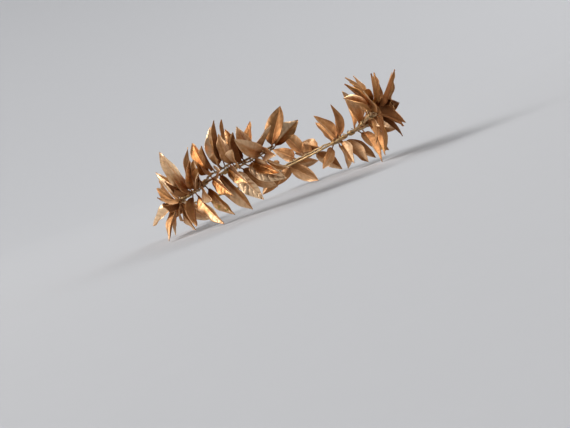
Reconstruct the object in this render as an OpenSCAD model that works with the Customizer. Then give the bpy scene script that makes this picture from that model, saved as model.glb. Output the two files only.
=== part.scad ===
// Laurel wreath crown: a bare wire band, open at the forehead, that carries five sprigs of
// leaves on each side. Each sprig is a twig tied along the band by a wire binding.
// Lengths are millimetres. It stands on Z = 0 as it rests by itself, with the wearer's
// front towards -Y and the wearer's right towards -X.

/* [Band] */
// Half of the widest width of the band, to the middle of its wire
band_half_w = 80; // [74:1:90]
// Depth of the band behind its widest place
band_back = 88; // [80:1:96]
// Depth that the band's front curve would reach ahead of its widest place
band_front = 115; // [108:1:124]
// Angle from the nape round to each front end, in degrees
band_end_deg = 146; // [143:1:149]
// Diameter of the band wire
band_wire_d = 1.8; // [1.4:0.1:2.2]

/* [Twigs] */
// Diameter of a twig at its tied end
twig_d = 1.6; // [1.4:0.1:2]
// Diameter of a twig at its growing end
twig_tip_d = 1.2; // [1.1:0.1:1.4]
// How far a growing twig leans away from the band, middle to middle
twig_lean = 4.2; // [3.9:0.1:5.5]
// Length of band over which a twig leans away
twig_lean_len = 8; // [6:0.5:12]
// Length of a twig that sticks out behind its binding
twig_stub = 2; // [1.5:0.5:4]

/* [Leaves] */
// Length of a full-size leaf blade
leaf_len = 34; // [28:1:38]
// Width of a full-size leaf blade, laid flat
leaf_w = 14.5; // [11:0.5:16]
// Length of the stalk between the twig and the blade
stalk_len = 3.4; // [2.6:0.2:4.4]
// Width of the stalk
stalk_d = 1; // [0.8:0.1:1.1]
// Thickness of the blade at its midrib
rib_t = 0.8; // [0.7:0.1:1]
// Thickness of the blade at its edges
edge_t = 0.4; // [0.3:0.1:0.7]

/* [Bindings] */
// Length of a wire binding along the band
binding_len = 6; // [5:0.5:7]
// Diameter of the binding wire, wound in one layer
binding_wire_d = 0.7; // [0.5:0.1:0.9]
// Clearance between a twig and the band where they are tied
twig_gap = 0.12; // [0.1:0.02:0.2]
// Clearance between a binding and the two wires inside it
binding_gap = 0.25; // [0.2:0.05:0.35]

/* [Rest] */
// How far the front is up when the crown rests on its lowest leaves, in degrees
rest_tilt = 8.5; // [6:0.5:11]

/* [Hidden] */

PAINTED_LEAF = "#B5825A";
BARE_WIRE = "#9C7A50";

// Resolution
band_sides = 8;
band_rings = 49;
twig_sides = 6;
twig_rings = 10;
binding_facets = 48;

// Every sprig is described on the wearer's left, and the right ones are mirrored.
// Columns of a leaf row
AT = 0;     // place along the twig, from 0 at the tied end to 1 at the growing end
SWING = 1;  // turn from the band's forward run, in degrees, positive towards the crown of the head
LIFT = 2;   // rise away from the head, in degrees
SIZE = 3;   // share of the full-size leaf
FOLD = 4;   // angle that each half of the blade is raised from flat, in degrees
CURL = 5;   // bend from base to tip, in degrees, positive away from the upper face
ROLL = 6;   // turn about the leaf's own midrib, in degrees

RIGHT_1 = [
    // at  swing lift size fold curl roll
    [1.00,   40, -42, 0.97, 20,  10,   0],
    [0.96,   60, -20, 1.00, 15,  15,  10],
    [0.86,  120,  70, 0.88, 20,  30,   0],
    [0.72,   30,  25, 0.90, 35,   5,  70],
    [0.85,  -25,  62, 0.80, 25,  20,   0],
    [0.76,  -45,  20, 0.80, 25,  10, -70],
    [0.58,   75, -15, 0.82, 25,  10,  20],
    [0.60,  -40,  27, 0.82, 30,  25,   0],
    [0.44,   55,  40, 0.98, 35,  10,  50],
    [0.46,  -45, -10, 0.94, 15,  10,   0],
    [0.36,  -60, -25, 0.90, 20,  10,   0],
    [0.38,   30,  62, 0.94, 15,  20,   0],
    [0.24,  -65,   0, 0.92, 15,  10,   0],
    [0.66,   79,  35, 0.78, 20,  15, -20],
    [0.50,  102,   5, 0.82, 20,  15,  10],
    [0.30,   85,  20, 0.78, 20,  15,   0]];

RIGHT_2 = [
    [1.00,   90, -15, 1.00, 25,  10,  40],
    [0.86,   78,   5, 0.98, 35,  10,  40],
    [0.62,  -75, -10, 1.10, 20,  10,   0],
    [0.72,   82,  -5, 0.92, 20,  15, -20],
    [0.58,   55,  40, 0.82, 30,  15,  30],
    [0.50,   30,  60, 0.72, 35,  20, -30],
    [0.46,  110,   0, 0.88, 20,  25,   0],
    [0.41,  -52,   8, 0.76, 20,  15,   0],
    [0.92,  -46,  25, 0.80, 20,  15,   0],
    [0.78,   30,  55, 0.75, 20,  20,   0],
    [0.66,  -10,  50, 0.72, 20,  20,   0]];

RIGHT_3 = [
    [1.00,  -62,   0, 0.92, 20,  15,   0],
    [0.72,   25,  24, 0.85, 30,  20,  20],
    [0.54,   35,  15, 0.92, 30,  15, -60],
    [0.62,   85,  -4, 0.95, 35,  15,  40],
    [0.56,  -65,   0, 1.00, 20,  10,   0],
    [0.50,   90,  26, 1.15, 15,  20, -10],
    [0.42,   40,  50, 0.72, 20,  15,   0],
    [0.40,  -75,  30, 0.84, 35,  15, -60],
    [0.36,   25,  60, 0.66, 35,  15,  30],
    [0.32,   55,  58, 0.78, 30,  15,  20],
    [0.30,  120,  30, 0.96, 25,  20,   0],
    [0.85,  -30,  30, 0.80, 20,  15,   0],
    [0.92,   56,  24, 0.68, 20,  15,   0]];

RIGHT_4 = [
    [1.00, -150,   5, 0.64, 20,  15,   0],
    [0.90,  120,  15, 0.80, 20,  15,   0],
    [0.68,  -66,  42, 0.95, 25,  15,  30],
    [0.56,  -55,  10, 0.90, 20,  15,   0],
    [0.42, -165,  44, 1.03, 25,  10, -30],
    [0.50,  -10,  48, 0.85, 30,  20, -30],
    [0.42,   25,  60, 0.70, 20,  15, -30],
    [0.63,  -50, -20, 0.92, 15,  10,   0],
    [0.76, -124,  36, 0.85, 20,  15,   0],
    [0.71,  134,  22, 0.80, 20,  15,   0]];

RIGHT_5 = [
    [1.00,  165,  60, 1.05, 20,  10,   0],
    [0.98, -150,  10, 0.82, 15,  10,   0],
    [0.92,  -51,  -3, 0.88, 20,  10,   0],
    [0.82, -150,  10, 0.66, 20,  10,   0],
    [0.90,  -20,  30, 0.72, 25,  25,   0],
    [0.62,  110,   5, 0.82, 20,  15,   0],
    [0.36,  150,  25, 0.76, 20,  15,   0],
    [0.50,  -59,  28, 0.80, 20,  15,   0],
    [0.75,  138,  30, 0.80, 20,  15,   0],
    [0.46,  165,  29, 0.75, 20,  15,   0]];

LEFT_1 = [
    [1.00,   25,  -8, 1.06, 35,  10,  20],
    [0.95,   75, -15, 0.82, 25,  10,   0],
    [0.96,   18,  16, 1.12, 25,  10,   0],
    [0.90,    8,  22, 0.90, 25,  15,   0],
    [0.88,  -45,  48, 1.00, 15,  20,   0],
    [0.78,   48,  50, 1.10, 25,  10, -20],
    [0.75,  120,  20, 1.00, 25,  10,  20],
    [0.61,  -45,  35, 0.92, 20,  15,   0],
    [0.64,  128,  40, 1.10, 30,  10,  20],
    [0.52,   85, -10, 0.88, 20,  15,   0],
    [0.46,  -70,  -5, 0.88, 20,  15,   0],
    [0.70,  -15,  38, 0.85, 20,  15,   0],
    [0.55,   -4,  35, 0.85, 20,  15,   0],
    [0.40,  100,  25, 0.85, 20,  15,   0],
    [0.84,   90,  25, 0.80, 20,  15,   0]];

LEFT_2 = [
    [0.98,  -41,  32, 0.96, 20,  15,   0],
    [0.92,  165,  40, 1.05, 25,  10,   0],
    [0.84,   75, -10, 0.96, 20,  15,   0],
    [0.70,  -75,  33, 0.85, 20,  15,   0],
    [0.62,  -50,   2, 0.90, 20,  15,   0],
    [0.54,   95,  10, 0.94, 20,  20,   0],
    [0.46,  -65, -10, 0.76, 20,  15,   0],
    [0.40,   50,  35, 0.80, 30,  15,   0],
    [0.78,  -10,  42, 0.80, 20,  15,   0],
    [0.34,   95,   4, 0.75, 20,  15,   0]];

LEFT_4 = [
    [1.00, -150,   5, 0.70, 20,  15,   0],
    [0.90,  120,  15, 0.80, 20,  15,   0],
    [0.68,  -70,  47, 0.95, 25,  15,   0],
    [0.58,  -55,  10, 0.90, 20,  15,   0],
    [0.42,  165,  35, 0.95, 25,  10,   0],
    [0.54,   75,   5, 0.85, 30,  20,   0],
    [0.64,  110,  -4, 0.85, 20,  15,   0],
    [0.63,  -50, -20, 0.92, 15,  10,   0],
    [0.76, -124,  36, 0.85, 20,  15,   0],
    [0.71,  134,  30, 0.80, 20,  15,   0]];

// Columns of a sprig row
SIDE = 1;    // 1 on the wearer's left, -1 on the right
FROM = 2;    // angle from the nape where the twig is tied
TO = 3;      // angle from the nape that the twig grows to
AROUND = 4;  // place of the twig around the band wire, from 0 outside to 90 on top
LEAVES = 5;  // the leaf rows

SPRIGS = [
    ["right_sprig_1", -1, 117, 146, -35, RIGHT_1],
    ["right_sprig_2", -1, 102, 124,  40, RIGHT_2],
    ["right_sprig_3", -1,  87, 106, -35, RIGHT_3],
    ["right_sprig_4", -1,  85,  70, -10, RIGHT_4],
    ["right_sprig_5", -1,  76,  34,  35, RIGHT_5],
    ["left_sprig_1",   1, 117, 146, -35, LEFT_1],
    ["left_sprig_2",   1, 102, 124,  40, LEFT_2],
    ["left_sprig_3",   1,  87, 106, -35, RIGHT_3],
    ["left_sprig_4",   1,  85,  70, -10, LEFT_4],
    ["left_sprig_5",   1,  76,  34,  35, RIGHT_5]];

BINDINGS = ["right_binding_1", "right_binding_2", "right_binding_3", "right_binding_4",
            "right_binding_5", "left_binding_1", "left_binding_2", "left_binding_3",
            "left_binding_4", "left_binding_5"];

// The band is an oval in the plane Z = 0: a point on it, the way forward and the way out
function unit(v) = v / norm(v);
function band_depth(a) = cos(a) > 0 ? band_back : band_front;
function band_at(a) = [band_half_w * sin(a), band_depth(a) * cos(a), 0];
function band_forward(a) = unit([band_half_w * cos(a), -band_depth(a) * sin(a), 0]);
function band_outward(a) = unit([band_depth(a) * sin(a), band_half_w * cos(a), 0]);
function ease(x) = let(c = max(0, min(1, x))) c * c * (3 - 2 * c);

// Length of band in one degree of its angle
function band_per_deg(a) = norm([band_half_w * cos(a), band_depth(a) * sin(a)]) * PI / 180;

// A twig's middle line: beside the band as far as its binding, then leaning away from it
tied_apart = (band_wire_d + twig_d) / 2 + twig_gap;
tied_len = twig_stub + binding_len + binding_wire_d;
function twig_angle(sprig, s) = sprig[FROM] + (sprig[TO] - sprig[FROM]) * s;
function twig_apart(sprig, s) =
    let(along = abs(sprig[TO] - sprig[FROM]) * s * band_per_deg(sprig[FROM]))
    tied_apart + (twig_lean - tied_apart) * ease((along - tied_len) / twig_lean_len);
function twig_at(sprig, s) =
    let(a = twig_angle(sprig, s), apart = twig_apart(sprig, s))
    band_at(a) + apart * (cos(sprig[AROUND]) * band_outward(a) + [0, 0, sin(sprig[AROUND])]);

// A leaf grows along leaf_way, and its upper face looks along leaf_face
function leaf_way(sprig, leaf) =
    let(a = twig_angle(sprig, leaf[AT]),
        along = cos(leaf[SWING]) * band_forward(a) + [0, 0, sin(leaf[SWING])])
    cos(leaf[LIFT]) * along + sin(leaf[LIFT]) * band_outward(a);
function leaf_face(sprig, leaf) =
    let(a = twig_angle(sprig, leaf[AT]),
        along = cos(leaf[SWING]) * band_forward(a) + [0, 0, sin(leaf[SWING])],
        up = cos(leaf[LIFT]) * band_outward(a) - sin(leaf[LIFT]) * along,
        across = cross(leaf_way(sprig, leaf), up))
    cos(leaf[ROLL]) * up + sin(leaf[ROLL]) * across;

// Half-width of a blade as a share of its greatest: ovate, with a drawn-out tip
widest = 0.41;
function ovate(t) = pow(t / widest, 0.6) * pow((1 - t) / (1 - widest), 0.85);

// A leaf's sections, as shares of the blade from its base, with the stalk's two ends first,
// and the width left at its tip, as a share of its greatest
BLADE_SECTIONS = [0.13, 0.3, 0.52, 0.78, 1];
stalk_top = 0.02;
tip_share = 0.04;
function leaf_sections(leaf) =
    concat([-stalk_len / (leaf[SIZE] * leaf_len), stalk_top], BLADE_SECTIONS);

// Six points round one section: along the upper face from edge to rib to edge, then back below
function section_points(sprig, leaf, t) =
    let(way = leaf_way(sprig, leaf), face = leaf_face(sprig, leaf), across = cross(way, face),
        len = leaf[SIZE] * leaf_len, bend = leaf[CURL] * t,
        radius = len / (leaf[CURL] * PI / 180),
        rib = twig_at(sprig, leaf[AT]) + way * (stalk_len + radius * sin(bend))
            - face * radius * (1 - cos(bend)),
        up = cos(bend) * face + sin(bend) * way,
        stalk = t <= stalk_top,
        half = stalk ? stalk_d / 2
                     : leaf[SIZE] * leaf_w / 2 * max(tip_share, ovate(t)),
        fold = stalk ? 0 : leaf[FOLD],
        reach = across * half * cos(fold), rise = up * half * sin(fold),
        edge = up * (stalk ? stalk_d / 4 : edge_t / 2), mid = up * (stalk ? stalk_d : rib_t) / 2)
    [rib - reach + rise + edge, rib + mid, rib + reach + rise + edge,
     rib + reach + rise - edge, rib - mid, rib - reach + rise - edge];
function leaf_points(sprig, leaf) =
    [for (t = leaf_sections(leaf)) each section_points(sprig, leaf, t)];

// A skin over rings of equally many points, closed at both ends
function skin_faces(rings, sides) = concat(
    [for (i = [0:rings - 2], j = [0:sides - 1])
        let(k = (j + 1) % sides, a = i * sides, b = a + sides) each
        [[a + j, b + j, b + k], [a + j, b + k, a + k]]],
    [for (j = [1:sides - 2]) [0, j, j + 1]],
    [for (j = [1:sides - 2]) let(e = (rings - 1) * sides) [e, e + j + 1, e + j]]);

// A round rod along a path, given its middle points, their outward directions and radii
function rod_points(middles, outs, radii, sides) =
    [for (i = [0:len(middles) - 1], j = [0:sides - 1])
        middles[i] + radii[i] * (cos(360 * j / sides) * outs[i] + [0, 0, sin(360 * j / sides)])];

// How the crown rests: tilted back, with its lowest leaf on Z = 0 and centred over the origin
function rest_turned(p) = [p.x, p.y * cos(rest_tilt) + p.z * sin(rest_tilt),
                           p.z * cos(rest_tilt) - p.y * sin(rest_tilt)];
rest_points = [for (sprig = SPRIGS, leaf = sprig[LEAVES], p = leaf_points(sprig, leaf))
    rest_turned([p.x * sprig[SIDE], p.y, p.z])];
rest_low = [for (i = [0:2]) min([for (p = rest_points) p[i]])];
rest_high = [for (i = [0:2]) max([for (p = rest_points) p[i]])];
rest_move = [-(rest_low.x + rest_high.x) / 2, -(rest_low.y + rest_high.y) / 2, -rest_low.z];

module at_rest(side) {
    translate(rest_move) rotate([-rest_tilt, 0, 0]) mirror([side < 0 ? 1 : 0, 0, 0]) children();
}

module band_wire() {
    turns = [for (i = [0:band_rings - 1]) band_end_deg * (2 * i / (band_rings - 1) - 1)];
    color(BARE_WIRE) at_rest(1)
        polyhedron(rod_points([for (a = turns) band_at(a)], [for (a = turns) band_outward(a)],
                              [for (a = turns) band_wire_d / 2], band_sides),
                   skin_faces(band_rings, band_sides));
}

module twig(sprig) {
    shares = [for (i = [0:twig_rings - 1]) i / (twig_rings - 1)];
    middles = [for (s = shares) twig_at(sprig, s)];
    outs = [for (s = shares) band_outward(twig_angle(sprig, s))];
    radii = [for (s = shares) (twig_d + (twig_tip_d - twig_d) * s) / 2];
    forward = sprig[TO] > sprig[FROM];
    points = rod_points(middles, outs, radii, twig_sides);
    polyhedron(forward ? points : rod_points(reversed(middles), reversed(outs),
                                             reversed(radii), twig_sides),
               skin_faces(twig_rings, twig_sides));
}
function reversed(list) = [for (i = [len(list) - 1:-1:0]) list[i]];

module leaf(sprig, row) {
    polyhedron(leaf_points(sprig, row), skin_faces(len(BLADE_SECTIONS) + 2, 6));
}

module sprig(index) {
    row = SPRIGS[index];
    color(PAINTED_LEAF) at_rest(row[SIDE]) union() {
        twig(row);
        for (leaf_row = row[LEAVES]) leaf(row, leaf_row);
    }
}

// One layer of binding wire as a scalloped sleeve round the band and the tied end of a twig
binding_turns = floor(binding_len / binding_wire_d);
binding_inner_r = (band_wire_d + twig_d + twig_gap) / 2 + binding_gap;

module binding(index) {
    row = SPRIGS[index];
    toward = row[TO] > row[FROM] ? 1 : -1;
    a = row[FROM] + toward * (twig_stub + binding_len / 2) / band_per_deg(row[FROM]);
    beside = tied_apart / 2 * (cos(row[AROUND]) * band_outward(a) + [0, 0, sin(row[AROUND])]);
    forward = band_forward(a);
    color(BARE_WIRE) at_rest(row[SIDE])
        translate(band_at(a) + beside) rotate([0, 0, atan2(forward.y, forward.x)])
        rotate([0, 90, 0]) translate([0, 0, -binding_turns * binding_wire_d / 2])
        rotate_extrude($fn = binding_facets) binding_profile();
}

// Half of each turn's round wire stands out of a plain inner sleeve
module binding_profile() {
    translate([binding_inner_r, 0])
        square([binding_wire_d / 2, binding_turns * binding_wire_d]);
    for (i = [0:binding_turns - 1])
        translate([binding_inner_r + binding_wire_d / 2, (i + 0.5) * binding_wire_d])
            circle(d = binding_wire_d, $fn = 16);
}

band_wire();
for (i = [0:len(SPRIGS) - 1]) sprig(i);
for (i = [0:len(BINDINGS) - 1]) binding(i);
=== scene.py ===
"""Laurel wreath crown: five sprigs of copper-gold painted leaves on each side of a wire band
that is open over the forehead.

Laid out as an add-on, and run as a script. The packed model is loaded first. Each operator
then makes one kind of piece in the packed model's own place, and the last one makes the stage.
Lengths are metres. Every piece is worked out in the band's own frame, where the band is an
oval in the plane Z = 0 round the origin, and is then laid down as the crown rests.
"""
import math
from types import SimpleNamespace

import bpy
import numpy as np
from bpy.props import FloatProperty, FloatVectorProperty, IntProperty, PointerProperty
from mathutils import Matrix, Vector


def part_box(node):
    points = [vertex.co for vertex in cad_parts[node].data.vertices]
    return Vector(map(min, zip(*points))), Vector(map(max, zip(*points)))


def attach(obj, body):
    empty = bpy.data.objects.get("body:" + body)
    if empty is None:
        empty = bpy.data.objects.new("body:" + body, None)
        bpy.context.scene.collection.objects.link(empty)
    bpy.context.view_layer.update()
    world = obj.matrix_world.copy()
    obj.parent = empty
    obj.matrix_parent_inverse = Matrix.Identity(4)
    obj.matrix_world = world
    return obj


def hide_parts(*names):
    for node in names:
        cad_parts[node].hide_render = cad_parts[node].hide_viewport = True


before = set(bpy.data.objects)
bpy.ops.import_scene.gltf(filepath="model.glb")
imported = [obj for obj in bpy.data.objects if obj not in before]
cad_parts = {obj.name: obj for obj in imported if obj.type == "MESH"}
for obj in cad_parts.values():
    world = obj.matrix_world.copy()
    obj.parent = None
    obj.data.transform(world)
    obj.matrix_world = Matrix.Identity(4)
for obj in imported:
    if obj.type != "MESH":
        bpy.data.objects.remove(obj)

bl_info = {
    "name": "Laurel Wreath Crown",
    "version": (1, 0, 0),
    "blender": (4, 5, 0),
    "location": "View3D > Sidebar > Laurel Crown",
    "description": "Makes the leaves, twigs, band and bindings of a painted laurel crown",
    "category": "Add Mesh",
}

BODY = "root"


# The design's tables

# Columns of a leaf row. The first seven place and shape the leaf, as in the packed model:
# place along the twig from 0 at its tied end to 1, turn from the band's forward run (positive
# towards the crown of the head), rise away from the head, share of the full-size leaf, raise
# of each half, bend from base to tip and turn about the midrib, angles in degrees. The last
# four give its finish: paint from -1 dark to 1 bright, which on the first two sprigs of the
# wearer's left is set lower as painted shade, how matt it dried, how strongly its veins show,
# and how much leaf the paint left bare.
(AT, SWING, LIFT, SIZE, FOLD, CURL, ROLL, TONE, MATT, VEINS, BARE) = range(11)

RIGHT_1 = (
    (1.00,   40, -42, 0.97, 20, 10,   0,   0.2, 0.3, 0.4, 0.0),
    (0.96,   60, -20, 1.00, 15, 15,  10,  -0.1, 0.7, 0.5, 0.0),
    (0.86,  120,  70, 0.88, 20, 30,   0,   0.3, 0.8, 0.3, 0.0),
    (0.72,   30,  25, 0.90, 35,  5,  70,  -0.1, 0.1, 0.2, 0.0),
    (0.85,  -25,  62, 0.80, 25, 20,   0,   0.5, 0.2, 0.3, 0.0),
    (0.76,  -45,  20, 0.80, 25, 10, -70,   0.1, 0.3, 0.3, 0.0),
    (0.58,   75, -15, 0.82, 25, 10,  20,  -0.4, 0.6, 0.3, 0.0),
    (0.60,  -40,  27, 0.82, 30, 25,   0,  -0.1, 0.2, 0.2, 0.0),
    (0.44,   55,  40, 0.98, 35, 10,  50,  -0.4, 0.3, 0.3, 0.0),
    (0.46,  -45, -10, 0.94, 15, 10,   0,   0.8, 0.2, 1.0, 0.0),
    (0.36,  -60, -25, 0.90, 20, 10,   0,   0.0, 0.6, 0.4, 0.0),
    (0.38,   30,  62, 0.94, 15, 20,   0,   0.1, 0.8, 0.3, 0.0),
    (0.24,  -65,   0, 0.92, 15, 10,   0,   0.8, 0.2, 1.0, 0.0),
    (0.66,   79,  35, 0.78, 20, 15, -20,   0.2, 0.3, 0.5, 0.0),
    (0.50,  102,   5, 0.82, 20, 15,  10,  -0.3, 0.3, 0.4, 0.0),
    (0.30,   85,  20, 0.78, 20, 15,   0,   0.1, 0.5, 0.4, 0.0),
)

RIGHT_2 = (
    (1.00,   90, -15, 1.00, 25, 10,  40,  -0.3, 0.2, 0.2, 0.0),
    (0.86,   78,   5, 0.98, 35, 10,  40,  -0.1, 0.2, 0.3, 0.0),
    (0.62,  -75, -10, 1.10, 20, 10,   0,   0.0, 0.5, 0.6, 0.0),
    (0.72,   82,  -5, 0.92, 20, 15, -20,   0.5, 0.1, 0.3, 0.0),
    (0.58,   55,  40, 0.82, 30, 15,  30,  -0.3, 0.6, 0.3, 0.0),
    (0.50,   30,  60, 0.72, 35, 20, -30,  -0.4, 0.2, 0.3, 0.0),
    (0.46,  110,   0, 0.88, 20, 25,   0,  -0.1, 0.3, 0.3, 0.0),
    (0.41,  -52,   8, 0.76, 20, 15,   0,   0.1, 0.3, 0.8, 0.0),
    (0.92,  -46,  25, 0.80, 20, 15,   0,   0.3, 0.2, 0.5, 0.0),
    (0.78,   30,  55, 0.75, 20, 20,   0,  -0.1, 0.6, 0.3, 0.0),
    (0.66,  -10,  50, 0.72, 20, 20,   0,   0.2, 0.3, 0.3, 0.0),
)

RIGHT_3 = (
    (1.00,  -62,   0, 0.92, 20, 15,   0,  -0.1, 0.2, 0.3, 0.6),
    (0.72,   25,  24, 0.85, 30, 20,  20,   0.1, 0.2, 0.4, 0.0),
    (0.54,   35,  15, 0.92, 30, 15, -60,   0.4, 0.3, 0.7, 0.0),
    (0.62,   85,  -4, 0.95, 35, 15,  40,   0.1, 0.1, 0.3, 0.0),
    (0.56,  -65,   0, 1.00, 20, 10,   0,   0.0, 0.3, 0.5, 0.0),
    (0.50,   90,  26, 1.15, 15, 20, -10,   0.5, 0.1, 0.4, 0.5),
    (0.42,   40,  50, 0.72, 20, 15,   0,  -0.2, 0.9, 0.5, 0.0),
    (0.40,  -75,  30, 0.84, 35, 15, -60,  -0.5, 0.3, 0.2, 0.3),
    (0.36,   25,  60, 0.66, 35, 15,  30,  -0.3, 0.2, 0.3, 0.0),
    (0.32,   55,  58, 0.78, 30, 15,  20,  -0.2, 0.3, 0.3, 0.2),
    (0.30,  120,  30, 0.96, 25, 20,   0,   0.2, 0.2, 0.3, 0.0),
    (0.85,  -30,  30, 0.80, 20, 15,   0,   0.3, 0.2, 0.5, 0.0),
    (0.92,   56,  24, 0.68, 20, 15,   0,  -0.2, 0.4, 0.3, 0.0),
)

RIGHT_4 = (
    (1.00, -150,   5, 0.64, 20, 15,   0,   0.0, 0.5, 0.3, 0.0),
    (0.90,  120,  15, 0.80, 20, 15,   0,  -0.1, 0.4, 0.3, 0.0),
    (0.68,  -66,  42, 0.95, 25, 15,  30,  -0.1, 0.6, 0.3, 0.0),
    (0.56,  -55,  10, 0.90, 20, 15,   0,   0.1, 0.6, 0.3, 0.0),
    (0.42, -165,  44, 1.03, 25, 10, -30,   0.6, 0.2, 0.5, 0.0),
    (0.50,  -10,  48, 0.85, 30, 20, -30,  -0.5, 0.4, 0.2, 0.0),
    (0.42,   25,  60, 0.70, 20, 15, -30,  -0.2, 0.4, 0.2, 0.2),
    (0.63,  -50, -20, 0.92, 15, 10,   0,   0.6, 0.1, 0.3, 0.0),
    (0.76, -124,  36, 0.85, 20, 15,   0,   0.1, 0.3, 0.4, 0.0),
    (0.71,  134,  22, 0.80, 20, 15,   0,  -0.3, 0.5, 0.3, 0.2),
)

RIGHT_5 = (
    (1.00,  165,  60, 1.05, 20, 10,   0,   0.1, 0.3, 0.4, 0.0),
    (0.98, -150,  10, 0.82, 15, 10,   0,   0.0, 0.5, 0.4, 0.0),
    (0.92,  -51,  -3, 0.88, 20, 10,   0,   0.2, 0.4, 0.4, 0.0),
    (0.82, -150,  10, 0.66, 20, 10,   0,  -0.1, 0.5, 0.3, 0.0),
    (0.90,  -20,  30, 0.72, 25, 25,   0,   0.0, 0.4, 0.3, 0.0),
    (0.62,  110,   5, 0.82, 20, 15,   0,  -0.2, 0.5, 0.3, 0.0),
    (0.36,  150,  25, 0.76, 20, 15,   0,  -0.1, 0.4, 0.3, 0.0),
    (0.50,  -59,  28, 0.80, 20, 15,   0,   0.2, 0.2, 0.5, 0.0),
    (0.75,  138,  30, 0.80, 20, 15,   0,  -0.1, 0.5, 0.3, 0.0),
    (0.46,  165,  29, 0.75, 20, 15,   0,   0.1, 0.4, 0.4, 0.0),
)

# The tones of this sprig are set darker as painted shade over the whole sprig.
LEFT_1 = (
    (1.00,   25,  -8, 1.06, 35, 10,  20,   0.3, 0.1, 0.2, 0.0),
    (0.95,   75, -15, 0.82, 25, 10,   0,  -0.6, 0.4, 0.3, 0.0),
    (0.96,   18,  16, 1.12, 25, 10,   0,  -0.2, 0.1, 0.3, 0.0),
    (0.90,    8,  22, 0.90, 25, 15,   0,  -0.5, 0.2, 0.2, 0.0),
    (0.88,  -45,  48, 1.00, 15, 20,   0,  -0.8, 0.3, 0.2, 0.0),
    (0.78,   48,  50, 1.10, 25, 10, -20,  -0.5, 0.3, 0.2, 0.0),
    (0.75,  120,  20, 1.00, 25, 10,  20,  -0.2, 0.2, 0.3, 0.0),
    (0.61,  -45,  35, 0.92, 20, 15,   0,  -0.8, 0.4, 0.2, 0.0),
    (0.64,  128,  40, 1.10, 30, 10,  20,  -0.3, 0.7, 0.3, 0.0),
    (0.52,   85, -10, 0.88, 20, 15,   0,  -0.5, 0.4, 0.3, 0.0),
    (0.46,  -70,  -5, 0.88, 20, 15,   0,  -0.5, 0.4, 0.3, 0.0),
    (0.70,  -15,  38, 0.85, 20, 15,   0,   0.0, 0.2, 0.4, 0.0),
    (0.55,   -4,  35, 0.85, 20, 15,   0,  -0.1, 0.3, 0.4, 0.0),
    (0.40,  100,  25, 0.85, 20, 15,   0,  -0.6, 0.5, 0.3, 0.0),
    (0.84,   90,  25, 0.80, 20, 15,   0,  -0.3, 0.3, 0.4, 0.0),
)

# The tones of this sprig are set darker as painted shade over the whole sprig.
LEFT_2 = (
    (0.98,  -41,  32, 0.96, 20, 15,   0,  -0.5, 0.3, 0.2, 0.0),
    (0.92,  165,  40, 1.05, 25, 10,   0,  -0.5, 0.3, 0.3, 0.0),
    (0.84,   75, -10, 0.96, 20, 15,   0,  -0.2, 0.4, 0.3, 0.0),
    (0.70,  -75,  33, 0.85, 20, 15,   0,  -0.6, 0.3, 0.3, 0.0),
    (0.62,  -50,   2, 0.90, 20, 15,   0,  -0.7, 0.4, 0.2, 0.0),
    (0.54,   95,  10, 0.94, 20, 20,   0,  -0.3, 0.3, 0.4, 0.0),
    (0.46,  -65, -10, 0.76, 20, 15,   0,  -0.5, 0.4, 0.3, 0.2),
    (0.40,   50,  35, 0.80, 30, 15,   0,  -0.3, 0.3, 0.4, 0.0),
    (0.78,  -10,  42, 0.80, 20, 15,   0,   0.0, 0.3, 0.4, 0.0),
    (0.34,   95,   4, 0.75, 20, 15,   0,  -0.2, 0.5, 0.4, 0.0),
)

LEFT_4 = (
    (1.00, -150,   5, 0.70, 20, 15,   0,   0.0, 0.5, 0.3, 0.0),
    (0.90,  120,  15, 0.80, 20, 15,   0,  -0.1, 0.4, 0.3, 0.0),
    (0.68,  -70,  47, 0.95, 25, 15,   0,  -0.2, 0.5, 0.3, 0.0),
    (0.58,  -55,  10, 0.90, 20, 15,   0,   0.1, 0.4, 0.4, 0.0),
    (0.42,  165,  35, 0.95, 25, 10,   0,   0.1, 0.3, 0.5, 0.0),
    (0.54,   75,   5, 0.85, 30, 20,   0,  -0.3, 0.4, 0.3, 0.0),
    (0.64,  110,  -4, 0.85, 20, 15,   0,  -0.1, 0.4, 0.3, 0.2),
    (0.63,  -50, -20, 0.92, 15, 10,   0,   0.3, 0.2, 0.3, 0.0),
    (0.76, -124,  36, 0.85, 20, 15,   0,   0.1, 0.3, 0.4, 0.0),
    (0.71,  134,  30, 0.80, 20, 15,   0,  -0.3, 0.5, 0.3, 0.0),
)

# Columns of a sprig row: side (1 on the wearer's left), angles round the band from the nape
# where the twig is tied and that it grows to, place round the band wire (0 outside, 90 on
# top), and its leaf rows.
SPRIGS = {
    "right_sprig_1": (-1, 117, 146, -35, RIGHT_1),
    "right_sprig_2": (-1, 102, 124, 40, RIGHT_2),
    "right_sprig_3": (-1, 87, 106, -35, RIGHT_3),
    "right_sprig_4": (-1, 85, 70, -10, RIGHT_4),
    "right_sprig_5": (-1, 76, 34, 35, RIGHT_5),
    "left_sprig_1": (1, 117, 146, -35, LEFT_1),
    "left_sprig_2": (1, 102, 124, 40, LEFT_2),
    "left_sprig_3": (1, 87, 106, -35, RIGHT_3),
    "left_sprig_4": (1, 85, 70, -10, LEFT_4),
    "left_sprig_5": (1, 76, 34, 35, RIGHT_5),
}

# Side shoots that were cut off each twig: place along it, turn and rise as for a leaf, length
# in metres. Each sprig turns them on by a further angle, so that no two look alike.
CUT_SHOOTS = (
    (0.34, 150, 25, 0.0026),
    (0.57, -120, 35, 0.0018),
    (0.79, 70, 50, 0.0022),
)
SHOOT_TURN = 77


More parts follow.
